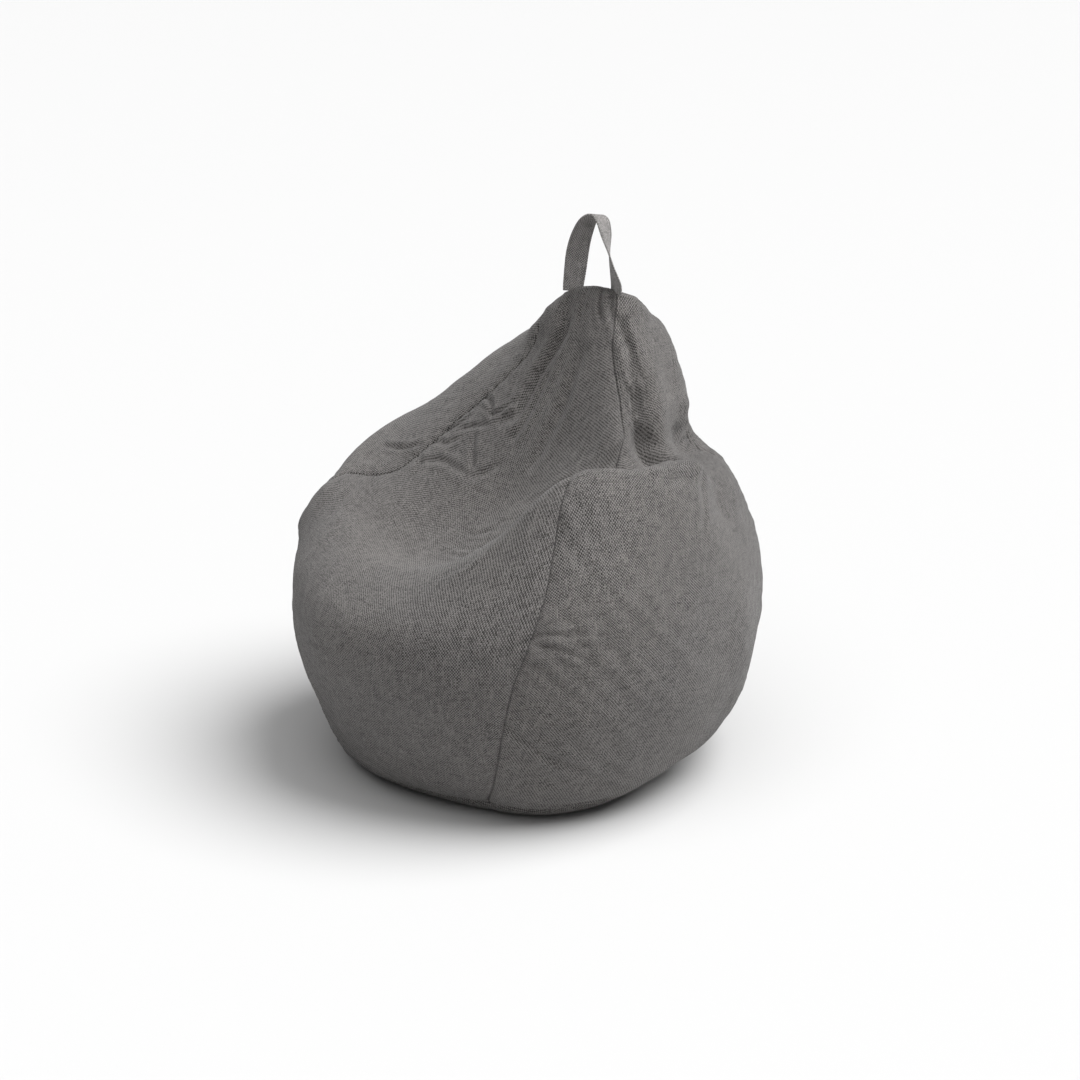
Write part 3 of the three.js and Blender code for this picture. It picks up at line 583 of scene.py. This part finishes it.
# ---- The gores -------------------------------------------------------------------------------------------
EDGE_STEPS = np.array([0, 0.0008, 0.0017, 0.0027, 0.0038, 0.0050, 0.0062, 0.0075, 0.0092, 0.0115])
GORE_COLUMNS, GORE_ROWS = 92, 210
SEAM_DEPTH, SEAM_WIDTH = 0.0034, 0.0021
SEAM_SINK, SEAM_SINK_WIDTH = 0.0024, 0.013
STITCH_OFFSET, STITCH_DEPTH, STITCH_WIDTH = 0.0055, 0.0007, 0.0011
PUCKER, PUCKER_LENGTH, PUCKER_REACH = 0.0016, 0.012, 0.018


def spaced(length, middle):
    """Distances from 0 to length, close together at both ends. length is an array of rows."""
    edge = np.minimum(EDGE_STEPS[None], length[:, None] * 0.3 * EDGE_STEPS / EDGE_STEPS[-1])
    inner = np.linspace(0, 1, middle + 2)[1:-1]
    first, last = edge[:, -1:], length[:, None] - edge[:, -1:]
    return np.concatenate([edge, first + (last - first) * inner, (length[:, None] - edge)[:, ::-1]], 1)


def gore_run(gore):
    """Places along a gore and the distance along its middle line at each."""
    fine = np.linspace(0, 1, 1500)
    line = sack_points(fine, (seam_angle(gore, fine) + seam_angle(gore + 1, fine)) / 2)
    return fine, np.concatenate([[0], np.cumsum(np.linalg.norm(np.diff(line, axis=0), axis=1))])


def gore_grid(gore, columns, row_count):
    """Places (along, angle), distance across from the first seam, width, and distance along, of one gore."""
    fine, run = gore_run(gore)
    rows = np.interp(spaced(run[-1:], row_count)[0], run, fine)
    share = np.linspace(0, 1, 300)
    start, end = seam_angle(gore, rows)[:, None], seam_angle(gore + 1, rows)[:, None]
    angles = start + (end - start) * share
    ring = sack_points(np.broadcast_to(rows[:, None], angles.shape), angles)
    steps = np.cumsum(np.linalg.norm(np.diff(ring, axis=1), axis=2), 1)
    across = np.concatenate([np.zeros((len(rows), 1)), steps], 1)
    distance = spaced(across[:, -1], columns)
    angle = np.stack([np.interp(d, a, g) for d, a, g in zip(distance, across, angles)])
    along = np.broadcast_to(rows[:, None], angle.shape)
    height = np.broadcast_to(np.interp(rows, fine, run)[:, None], angle.shape)
    return along, angle, distance, across[:, -1][:, None], height


def seam_relief(distance):
    """The groove of a seam, the wider dip that it draws the cloth into, and the line of its topstitch."""
    return (
        -SEAM_DEPTH * np.exp(-((distance / SEAM_WIDTH) ** 2))
        - SEAM_SINK * np.exp(-((distance / SEAM_SINK_WIDTH) ** 2))
        - STITCH_DEPTH * np.exp(-(((distance - STITCH_OFFSET) / STITCH_WIDTH) ** 2))
    )


def puckers(run, distance, seed):
    """Short wrinkles square to a seam, over the run of the seam and the distance from it."""
    places = np.stack([run / PUCKER_LENGTH, distance / 0.05, np.full(run.shape, seed)], -1)
    near = distance < 3 * PUCKER_REACH
    value = np.zeros(run.shape)
    value[near] = lumps(places[near], 5.0) * lumps(places[near] * 0.17, 9.0) * 2
    return PUCKER * value * np.exp(-distance / PUCKER_REACH)


def cover_surface(gore, along, angle, side, height, ends, above=0.0):
    """Points of the finished cover, above its cloth by as much as is asked."""
    points, normals = sack_points(along, angle), sack_normals(along, angle)
    lift = relief(points) + seam_relief(side) + seam_relief(ends) + puckers(height, side, 1.3 * gore) + above
    lift = lift + drape_at(DRAPE, gore, along, angle)
    return points + normals * lift[..., None]


def sew(piece, node, flat, body="sack"):
    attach(piece, body)
    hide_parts(node)
    flat = tuple(round(float(size), 3) for size in flat)


def cover_gore(gore, cloth):
    along, angle, distance, width, height = gore_grid(gore, GORE_COLUMNS, GORE_ROWS)
    length = height.max()
    side = np.minimum(distance, width - distance)
    ends = np.minimum(height, length - height)
    points = cover_surface(gore, along, angle, side, height, ends)
    uv = np.stack([distance - width / 2, height], -1)
    piece = grid_object(f"cover_{GORES[gore]}_gore", points, uv, material=cloth)
    thicken(piece, 0.0011)
    sew(piece, f"cover_{GORES[gore]}_panel", (width.max(), length))
    return points


LINER_DEPTH = 0.015
FILLING_DEPTH = 0.020


def inner_surface(along, angle, depth):
    points, normals = sack_points(along, angle), sack_normals(along, angle)
    lift = fold_relief(points) + 0.004 * lumps(points / 0.16, 3.0) - depth
    return points + normals * lift[..., None]


def liner_gore(gore, cloth):
    along, angle, distance, width, height = gore_grid(gore, 36, 84)
    points = inner_surface(along, angle, LINER_DEPTH)
    side = np.minimum(distance, width - distance)
    points -= sack_normals(along, angle) * (0.002 * np.exp(-((side / 0.004) ** 2)))[..., None]
    uv = np.stack([distance - width / 2, height], -1)
    piece = grid_object(f"liner_{GORES[gore]}_gore", points, uv, material=cloth)
    thicken(piece, 0.0006)
    sew(piece, f"liner_{GORES[gore]}_panel", (width.max(), height.max()))


# ---- Rings where the gores end, the cap and the base -------------------------------------------------------
RING_POINTS = 240
RING_ANGLES = np.linspace(0, 2 * math.pi, RING_POINTS, endpoint=False)


def cover_ring(along):
    """The ring where the finished gores end, at the base (0) or at the cap (1)."""
    where = np.full(RING_POINTS, float(along))
    seams = np.array([seam_angle(k, np.array([float(along)]))[0] for k in range(4)])
    turn = (RING_ANGLES[:, None] - seams[None] + math.pi) % (2 * math.pi) - math.pi
    nearest = np.abs(turn).min(1)
    step = 1e-3
    beside = sack_points(where, RING_ANGLES + step) - sack_points(where, RING_ANGLES)
    radius = np.linalg.norm(beside, axis=1) / step
    zero = np.zeros(RING_POINTS)
    return cover_surface(0, where, RING_ANGLES, nearest * radius, zero + 9.0, zero)


CAP_STEPS = (0, 0.011, 0.024, 0.04, 0.06, 0.08, 0.11, 0.15, 0.2, 0.28, 0.38, 0.5)  # shares in from the seam
CAP_MIDDLE_STEPS = (0.62, 0.74, 0.86, 0.95, 0.985, 0.997)


def cap_disc(name, ring, crown, cloth, node, rib):
    """The cap inside its seam. rib is 1 where the seam and topstitch show, and 0 where they don't."""
    share = 1 - np.array(CAP_STEPS + CAP_MIDDLE_STEPS)
    middle = ring.mean(0)
    up = unit(np.cross(ring[0] - middle, ring[RING_POINTS // 4] - middle))
    inward = (1 - share[:, None]) * np.linalg.norm(ring - middle, axis=1)
    rise = crown * (1 - share[:, None] ** 2) + rib * (seam_relief(inward) - seam_relief(np.zeros(1)))
    points = middle + (ring - middle) * share[:, None, None] + up * rise[..., None]
    points += up * (0.0014 * lumps(points / 0.03, 7.0) * (1 - share[:, None] ** 8))[..., None]
    side = unit(np.cross(np.array([0, 0, 1.0]), up))
    uv = np.stack([(points - middle) @ side, (points - middle) @ np.cross(up, side)], -1)
    piece = grid_object(name, points, uv, closed=True, material=cloth)
    close_end(piece, np.arange(RING_POINTS) + (len(share) - 1) * RING_POINTS)
    thicken(piece, 0.0011)
    reach = np.linalg.norm(ring - middle, axis=1)
    sew(piece, node, (2 * reach.max(), 2 * reach.max()))
    return points


BASE_REACHES = (0, 0.85, 0.92, 0.97, 1)  # shares of the way from the middle of the base to its seam
BASE_LIFTS = (0, 0, 0.16, 0.50, 1)  # and of the way up to the seam there
SLOT_HALF_LENGTH, SLOT_HALF_WIDTH = 0.2298, 0.0203
COVER_FLOOR, COVER_HEM = 0.0002, 0.0096  # heights of a base's outside and of the hem round its slot
LINER_FLOOR, LINER_HEM = 0.0024, 0.0166


def base_half(name, ring, sign, floor_height, hem_height, cloth, node):
    """Half of the base, from the ring in to the zip opening, whose hem stands up to the zip's tape."""
    start = 0 if sign > 0 else RING_POINTS // 2
    order = (np.arange(RING_POINTS // 2 + 1) + RING_POINTS // 4 + start) % RING_POINTS
    half = ring[order][:: -sign]
    inner_x = 0.97 * np.linspace(half[0, 0], half[-1, 0], len(half)) * 0.35 + 0.65 * 0.97 * half[:, 0]
    for edge in (-SLOT_HALF_LENGTH, SLOT_HALF_LENGTH):
        inner_x[np.abs(inner_x - edge).argmin()] = edge
    open_here = np.abs(inner_x) <= SLOT_HALF_LENGTH + 1e-6
    inner_y = sign * np.where(open_here, SLOT_HALF_WIDTH, 0.0004)
    share = np.concatenate([[0, 0.003], np.linspace(0.006, 0.75, 26), np.linspace(0.77, 1, 22)])
    outward = share[:, None, None]
    flat = np.stack([inner_x, inner_y], -1)[None] * (1 - outward) + half[None, :, :2] * outward
    polar = np.hypot(ring[:, 0], ring[:, 1])
    bearing = np.arctan2(ring[:, 1], ring[:, 0])
    order = np.argsort(bearing)
    rim = np.interp(np.arctan2(flat[..., 1], flat[..., 0]), bearing[order], polar[order], period=2 * math.pi)
    reach = np.hypot(flat[..., 0], flat[..., 1]) / rim
    height = floor_height + (half[None, :, 2] - floor_height) * np.interp(reach, BASE_REACHES, BASE_LIFTS)
    height += 0.0003 * (1 + lumps(np.concatenate([flat, 0 * flat[..., :1]], -1) / 0.03, 4.0))
    hem = np.where(open_here, hem_height, height[0] + 0.0005)
    top = np.stack([inner_x, inner_y, hem], -1)[None]
    points = np.concatenate([top, np.concatenate([flat, height[..., None]], -1)])
    points[-1] = half
    uv = np.concatenate([points[:1, :, :2] - [[[0, sign * hem_height]]], points[1:, :, :2]])
    piece = grid_object(name, points[:, ::-sign], uv[:, ::-sign], material=cloth)
    thicken(piece, 0.0007)
    width = half[:, 0].max() - half[:, 0].min()
    depth = np.abs(half[:, 1]).max()
    sew(piece, node, (width, depth))


def base_disc(ring, prefix, floor_height, hem_height, cloth):
    for sign, half in ((-1, "front"), (1, "back")):
        node = f"{prefix}_base_{half}"
        base_half(f"{node}_panel", ring, sign, floor_height, hem_height, cloth, node)


# ---- The filling -----------------------------------------------------------------------------------------
RECESS_HEIGHT, RECESS_HALF_LENGTH, RECESS_HALF_WIDTH, RECESS_SLOPE = 0.0215, 0.240, 0.030, 0.010
FILLING_FLOOR = 0.0042


def filling(beads):
    rows = np.linspace(0, 1, 90)
    along, angle = np.meshgrid(rows, RING_ANGLES, indexing="ij")
    side = inner_surface(along, angle, FILLING_DEPTH)
    share = np.linspace(0.02, 0.97, 40)[:, None, None]
    bottom = side[0][None] * share
    rim_height = side[0, :, 2][None] - FILLING_FLOOR
    bottom[..., 2] = FILLING_FLOOR + rim_height * np.interp(share[..., 0], BASE_REACHES, BASE_LIFTS)
    out_x = np.clip((RECESS_HALF_LENGTH - np.abs(bottom[..., 0])) / RECESS_SLOPE, 0, 1)
    out_y = np.clip((RECESS_HALF_WIDTH - np.abs(bottom[..., 1])) / RECESS_SLOPE, 0, 1)
    bottom[..., 2] += (RECESS_HEIGHT - FILLING_FLOOR) * out_x * out_y
    middle = side[-1].mean(0)
    up = unit(np.cross(side[-1, 0] - middle, side[-1, RING_POINTS // 4] - middle))
    share = np.linspace(0.9, 0.05, 9)[:, None, None]
    top = middle + (side[-1] - middle)[None] * share + up * CAP_CROWN * (1 - share**2)
    points = np.concatenate([bottom, side, top])
    piece = grid_object("bead_mass", points, points[..., :2], closed=True, material=beads)
    close_end(piece, np.arange(RING_POINTS)[::-1])
    close_end(piece, np.arange(RING_POINTS) + (len(points) - 1) * RING_POINTS)
    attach(piece, "sack")
    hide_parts("bead_filling")


# ---- Zip tapes -------------------------------------------------------------------------------------------
TAPE_MARGIN = 0.0001  # between the woven tape's faces and the CAD tape's
TAPE_RIB = 0.00006


def zip_tape(node, cloth):
    """One woven tape of a zip, in the CAD tape's place, ribbed and a little wavy at its sewn edge."""
    low, high = (np.array(corner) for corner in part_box(node))
    along, across = np.meshgrid(np.linspace(0, 1, 240), np.linspace(0, 1, 19), indexing="ij")
    inner_edge, outer_edge = sorted((low[1], high[1]), key=abs)
    x = low[0] + (high[0] - low[0]) * along
    points = np.stack([x, inner_edge + (outer_edge - inner_edge) * across], -1)
    sway = 0.0004 * across**3 * lumps(np.concatenate([points, 0 * along[..., None]], -1) / 0.02, 17.0)
    points[..., 1] -= np.sign(outer_edge) * np.abs(sway)
    rib = TAPE_RIB * np.cos(across * 12 * math.pi)
    height = high[2] - TAPE_MARGIN - TAPE_RIB + rib
    points = np.concatenate([points, height[..., None]], -1)
    if outer_edge > 0:
        points = points[::-1]
    piece = grid_object(f"{node}_weave", points, points[..., :2], material=cloth)
    thicken(piece, high[2] - low[2] - 3 * TAPE_MARGIN)
    size = (abs(outer_edge - inner_edge), high[0] - low[0])
    sew(piece, node, size)


# ---- Stitches --------------------------------------------------------------------------------------------
STITCH_PITCH, STITCH_LENGTH, THREAD_RADIUS = 0.0040, 0.0032, 0.00038
THREAD_SIDES = 6


def stitches(name, path, normals, thread):
    """A row of thread dashes over a path of points, each rising out of the cloth and diving back into it."""
    run = np.concatenate([[0], np.cumsum(np.linalg.norm(np.diff(path, axis=0), axis=1))])
    count = int(run[-1] / STITCH_PITCH)
    middles = (np.arange(count) + 0.5) * STITCH_PITCH
    at = lambda where, values: np.stack([np.interp(where, run, values[:, k]) for k in range(3)], -1)
    share = np.array([-0.5, -0.44, -0.25, 0, 0.25, 0.44, 0.5])
    girth = np.array([0.15, 0.75, 1, 1, 1, 0.75, 0.15]) * THREAD_RADIUS
    sink = np.array([-0.9, -0.35, 0.15, 0.35, 0.15, -0.35, -0.9]) * THREAD_RADIUS
    where = middles[:, None] + share * STITCH_LENGTH
    centre, normal = at(where, path), unit(at(where, normals))
    forward = unit(at(where + 1e-4, path) - at(where - 1e-4, path))
    across = unit(np.cross(forward, normal))
    turn = np.arange(THREAD_SIDES) * 2 * math.pi / THREAD_SIDES
    around = np.cos(turn)[:, None] * across[..., None, :] + np.sin(turn)[:, None] * normal[..., None, :]
    points = (centre + normal * sink[:, None])[..., None, :] + around * girth[:, None, None]
    rings = len(share)
    index = np.arange(rings * THREAD_SIDES).reshape(rings, THREAD_SIDES)
    index = np.concatenate([index, index[:, :1]], 1)
    quads = np.stack([index[:-1, :-1], index[1:, :-1], index[1:, 1:], index[:-1, 1:]], -1).reshape(-1, 4)
    faces = (quads[None] + np.arange(count)[:, None, None] * rings * THREAD_SIDES).reshape(-1, 4)
    return add_piece(name, points.reshape(-1, 3), faces, material=thread)


def seam_stitches(seam, thread):
    """The topstitch that runs beside a gore seam, on the gore before it."""
    gore = (seam - 1) % 4
    fine, run = gore_run(gore)
    keep = (run > 0.011) & (run < run[-1] - 0.011)
    along = np.interp(np.arange(0.011, run[-1] - 0.011, 0.002), run, fine)
    height = np.interp(along, fine, run)
    angle = seam_angle(gore + 1, along)
    radius = np.linalg.norm(sack_points(along, angle) - sack_points(along, angle - 1e-3), axis=1) / 1e-3
    side = np.full(along.shape, STITCH_OFFSET)
    ends = np.minimum(height, run[-1] - height)
    path = cover_surface(gore, along, angle - side / radius, side, height, ends, above=0.0001)
    piece = stitches(f"cover_seam_{seam + 1}_topstitch", path, sack_normals(along, angle), thread)
    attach(piece, "sack")


def ring_stitches(name, end, thread):
    """The topstitch on the gores beside the base seam (end 0) or the cap seam (end 1)."""
    for gore in range(4):
        fine, run = gore_run(gore)
        height = np.full(240, STITCH_OFFSET if end == 0 else run[-1] - STITCH_OFFSET)
        along = np.interp(height, run, fine)
        angle = np.linspace(seam_angle(gore, along)[0], seam_angle(gore + 1, along)[0], len(along))
        points = sack_points(along, angle)
        across = np.concatenate([[0], np.cumsum(np.linalg.norm(np.diff(points, axis=0), axis=1))])
        side = np.minimum(across, across[-1] - across)
        ends = np.full(len(along), STITCH_OFFSET)
        path = cover_surface(gore, along, angle, side, height, ends, above=0.0001)
        piece = stitches(f"{name}_{gore + 1}", path, sack_normals(along, angle), thread)
        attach(piece, "sack")


# ---- The carry strap -------------------------------------------------------------------------------------
STRAP_WIDTH, STRAP_THICKNESS, STRAP_RISE = 0.038, 0.0026, 0.118
STRAP_ANGLES = (-10, 57)  # where the strap's ends leave the cap seam
HINGE_LIFT = 0.00625
STRAP_ROOT = 0.010  # how far the sewn ends reach below the line the strap flops about
# Shares of the span across and of the rise, and where the inner face looks: across, back and up.
STRAP_STATIONS = (
    (-0.5, 0, (0.1, -1, 0)),
    (-0.46, 0.22, (0.35, -1, 0)),
    (-0.41, 0.48, (0.65, -0.9, 0)),
    (-0.31, 0.74, (0.9, -0.7, -0.4)),
    (-0.17, 0.93, (0.6, -0.4, -1)),
    (0.0, 1, (0, -0.15, -1)),
    (0.13, 0.93, (-0.6, 0, -0.8)),
    (0.21, 0.75, (-1, -0.1, -0.3)),
    (0.28, 0.5, (-1, -0.5, 0)),
    (0.37, 0.24, (-0.9, -0.8, 0)),
    (0.46, 0, (-0.6, -0.9, 0)),
)
STRAP_ROWS = 150


def strap_frames():
    """Centres, widthways and face directions down the strap, and the hinge line's middle and direction."""
    cap_ring = sack_points(np.ones(4), np.radians([0, 90, 180, 270]))
    cap_up = unit(np.cross(cap_ring[1] - cap_ring[3], cap_ring[2] - cap_ring[0]))
    left, right = sack_points(np.ones(2), np.radians(STRAP_ANGLES)) + cap_up * HINGE_LIFT
    span, middle = np.linalg.norm(right - left), (left + right) / 2
    across = (right - left) / span
    up = np.array([0, 0, 1.0])
    back = unit(np.cross(up, across))
    axes = np.stack([across, back, up])
    centres = np.array([middle + across * a * span + up * r * STRAP_RISE for a, r, face in STRAP_STATIONS])
    faces = np.array([np.array(face) @ axes for a, r, face in STRAP_STATIONS])
    root = up * STRAP_ROOT
    centres = np.concatenate([[centres[0] - root], centres, [centres[-1] - root]])
    faces = np.concatenate([faces[:1], faces, faces[-1:]])
    places = np.concatenate([[0], np.cumsum(np.linalg.norm(np.diff(centres, axis=0), axis=1) ** 0.5)])
    t = np.linspace(0, places[-1], STRAP_ROWS)
    line = cubic_through(places, centres, t)
    forward = unit(np.gradient(line, axis=0))
    face = cubic_through(places, faces, t)
    face = unit(face - forward * (face * forward).sum(1)[:, None])
    return line, np.cross(face, forward), face, middle, across


def strap(cloth, thread):
    line, width, face, middle, across = strap_frames()
    half, thick = STRAP_WIDTH / 2, STRAP_THICKNESS / 2
    inner = np.linspace(-1, 1, 23)
    outline_x = inner * (half - thick)
    pressed = 1 - 0.35 * np.exp(-(((half - 0.0036 - np.abs(outline_x)) / 0.0012) ** 2))
    turn = np.radians([-60, -30, 0, 30, 60])
    section = np.concatenate(
        [
            np.stack([outline_x, thick * pressed], 1),
            np.stack([half - thick + thick * np.cos(turn), -thick * np.sin(turn)], 1),
            np.stack([outline_x, -thick * pressed], 1)[::-1],
            np.stack([-(half - thick) - thick * np.cos(turn), thick * np.sin(turn)], 1),
        ]
    )
    points = (
        line[:, None]
        + width[:, None] * section[None, :, 0, None]
        + face[:, None] * section[None, :, 1, None]
    )
    run = np.concatenate([[0], np.cumsum(np.linalg.norm(np.diff(line, axis=0), axis=1))])
    sway = 0.0012 * lumps(points / 0.05, 31.0)
    points += face[:, None] * sway[..., None]
    uv = np.stack(np.broadcast_arrays(section[None, :, 0], run[:, None]), -1)
    piece = grid_object("carry_strap", points, uv, closed=True, material=cloth)
    sides = len(section)
    close_end(piece, np.arange(sides))
    close_end(piece, np.arange(sides)[::-1] + (STRAP_ROWS - 1) * sides)
    rows = []
    for edge in (-1, 1):
        for side in (-1, 1):
            x = edge * (half - 0.0036)
            path = line + width * x + face * (side * thick * 0.72)
            path += face * (0.0012 * lumps(path / 0.05, 31.0))[:, None]
            rows.append(stitches(f"strap_stitch_{len(rows) + 1}", path, face * side, thread))
    for part in (piece, *rows):
        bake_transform(part)
    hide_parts("carry_handle")


# ---- Building it -----------------------------------------------------------------------------------------
def build_sack():
    cloth = woven("cover_cloth", (0.022, 0.0206, 0.0195), (0.224, 0.2125, 0.205), 0.0023, 0.9, 0.18)
    lining = woven("liner_cloth", (0.5, 0.49, 0.47), (0.75, 0.74, 0.71), 0.0007, 0.3, 0.1)
    thread = woven("sewing_thread", (0.07, 0.067, 0.065), (0.14, 0.135, 0.13), 0.0006, 0.3, 0.2)
    beads = bead_foam("bead_foam")
    for gore in range(4):
        cover_gore(gore, cloth)
        liner_gore(gore, lining)
        seam_stitches(gore, thread)
    ring_stitches("cover_base_topstitch", 0, thread)
    ring_stitches("cover_cap_topstitch", 1, thread)
    cap_disc("cover_cap_panel", cover_ring(1), CAP_CROWN, cloth, "cover_top_cap", 1)
    base_disc(cover_ring(0), "cover", COVER_FLOOR, COVER_HEM, cloth)
    top = np.full(RING_POINTS, 1.0)
    liner_top = inner_surface(top, RING_ANGLES, LINER_DEPTH)
    liner_bottom = inner_surface(0 * top, RING_ANGLES, LINER_DEPTH)
    cap_disc("liner_cap_panel", liner_top, CAP_CROWN, lining, "liner_top_cap", 0)
    base_disc(liner_bottom, "liner", LINER_FLOOR, LINER_HEM, lining)
    filling(beads)
    webbing = woven("strap_cloth", (0.060, 0.057, 0.055), (0.40, 0.383, 0.372), 0.0022, 0.6, 0.25)
    strap(webbing, thread)
    dark_tape = woven("zip_tape", (0.045, 0.043, 0.042), (0.10, 0.097, 0.095), 0.0008, 0.4, 0.1)
    pale_tape = woven("liner_tape", (0.45, 0.44, 0.42), (0.68, 0.67, 0.64), 0.0008, 0.4, 0.1)
    for half in ("front", "back"):
        zip_tape(f"zip_tape_{half}", dark_tape)
        zip_tape(f"liner_zip_tape_{half}", pale_tape)


def dress_cad_nodes():
    """Finishes for the hard zip pieces, which are shown as the CAD made them."""
    brass = metal("zip_metal", (0.42, 0.42, 0.43), 0.25)
    coil = nylon("zip_coil", (0.05, 0.05, 0.05))
    pale = nylon("liner_coil", (0.6, 0.6, 0.58))
    for name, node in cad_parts.items():
        finish = None
        if "slider" in name or "stop" in name or name.endswith("zip_pull"):
            finish = brass
        elif "coil" in name:
            finish = pale if name.startswith("liner") else coil
        if finish:
            node.data.materials.clear()
            node.data.materials.append(finish)


set_stage()
DRAPE = simulate_drape()
build_sack()
dress_cad_nodes()
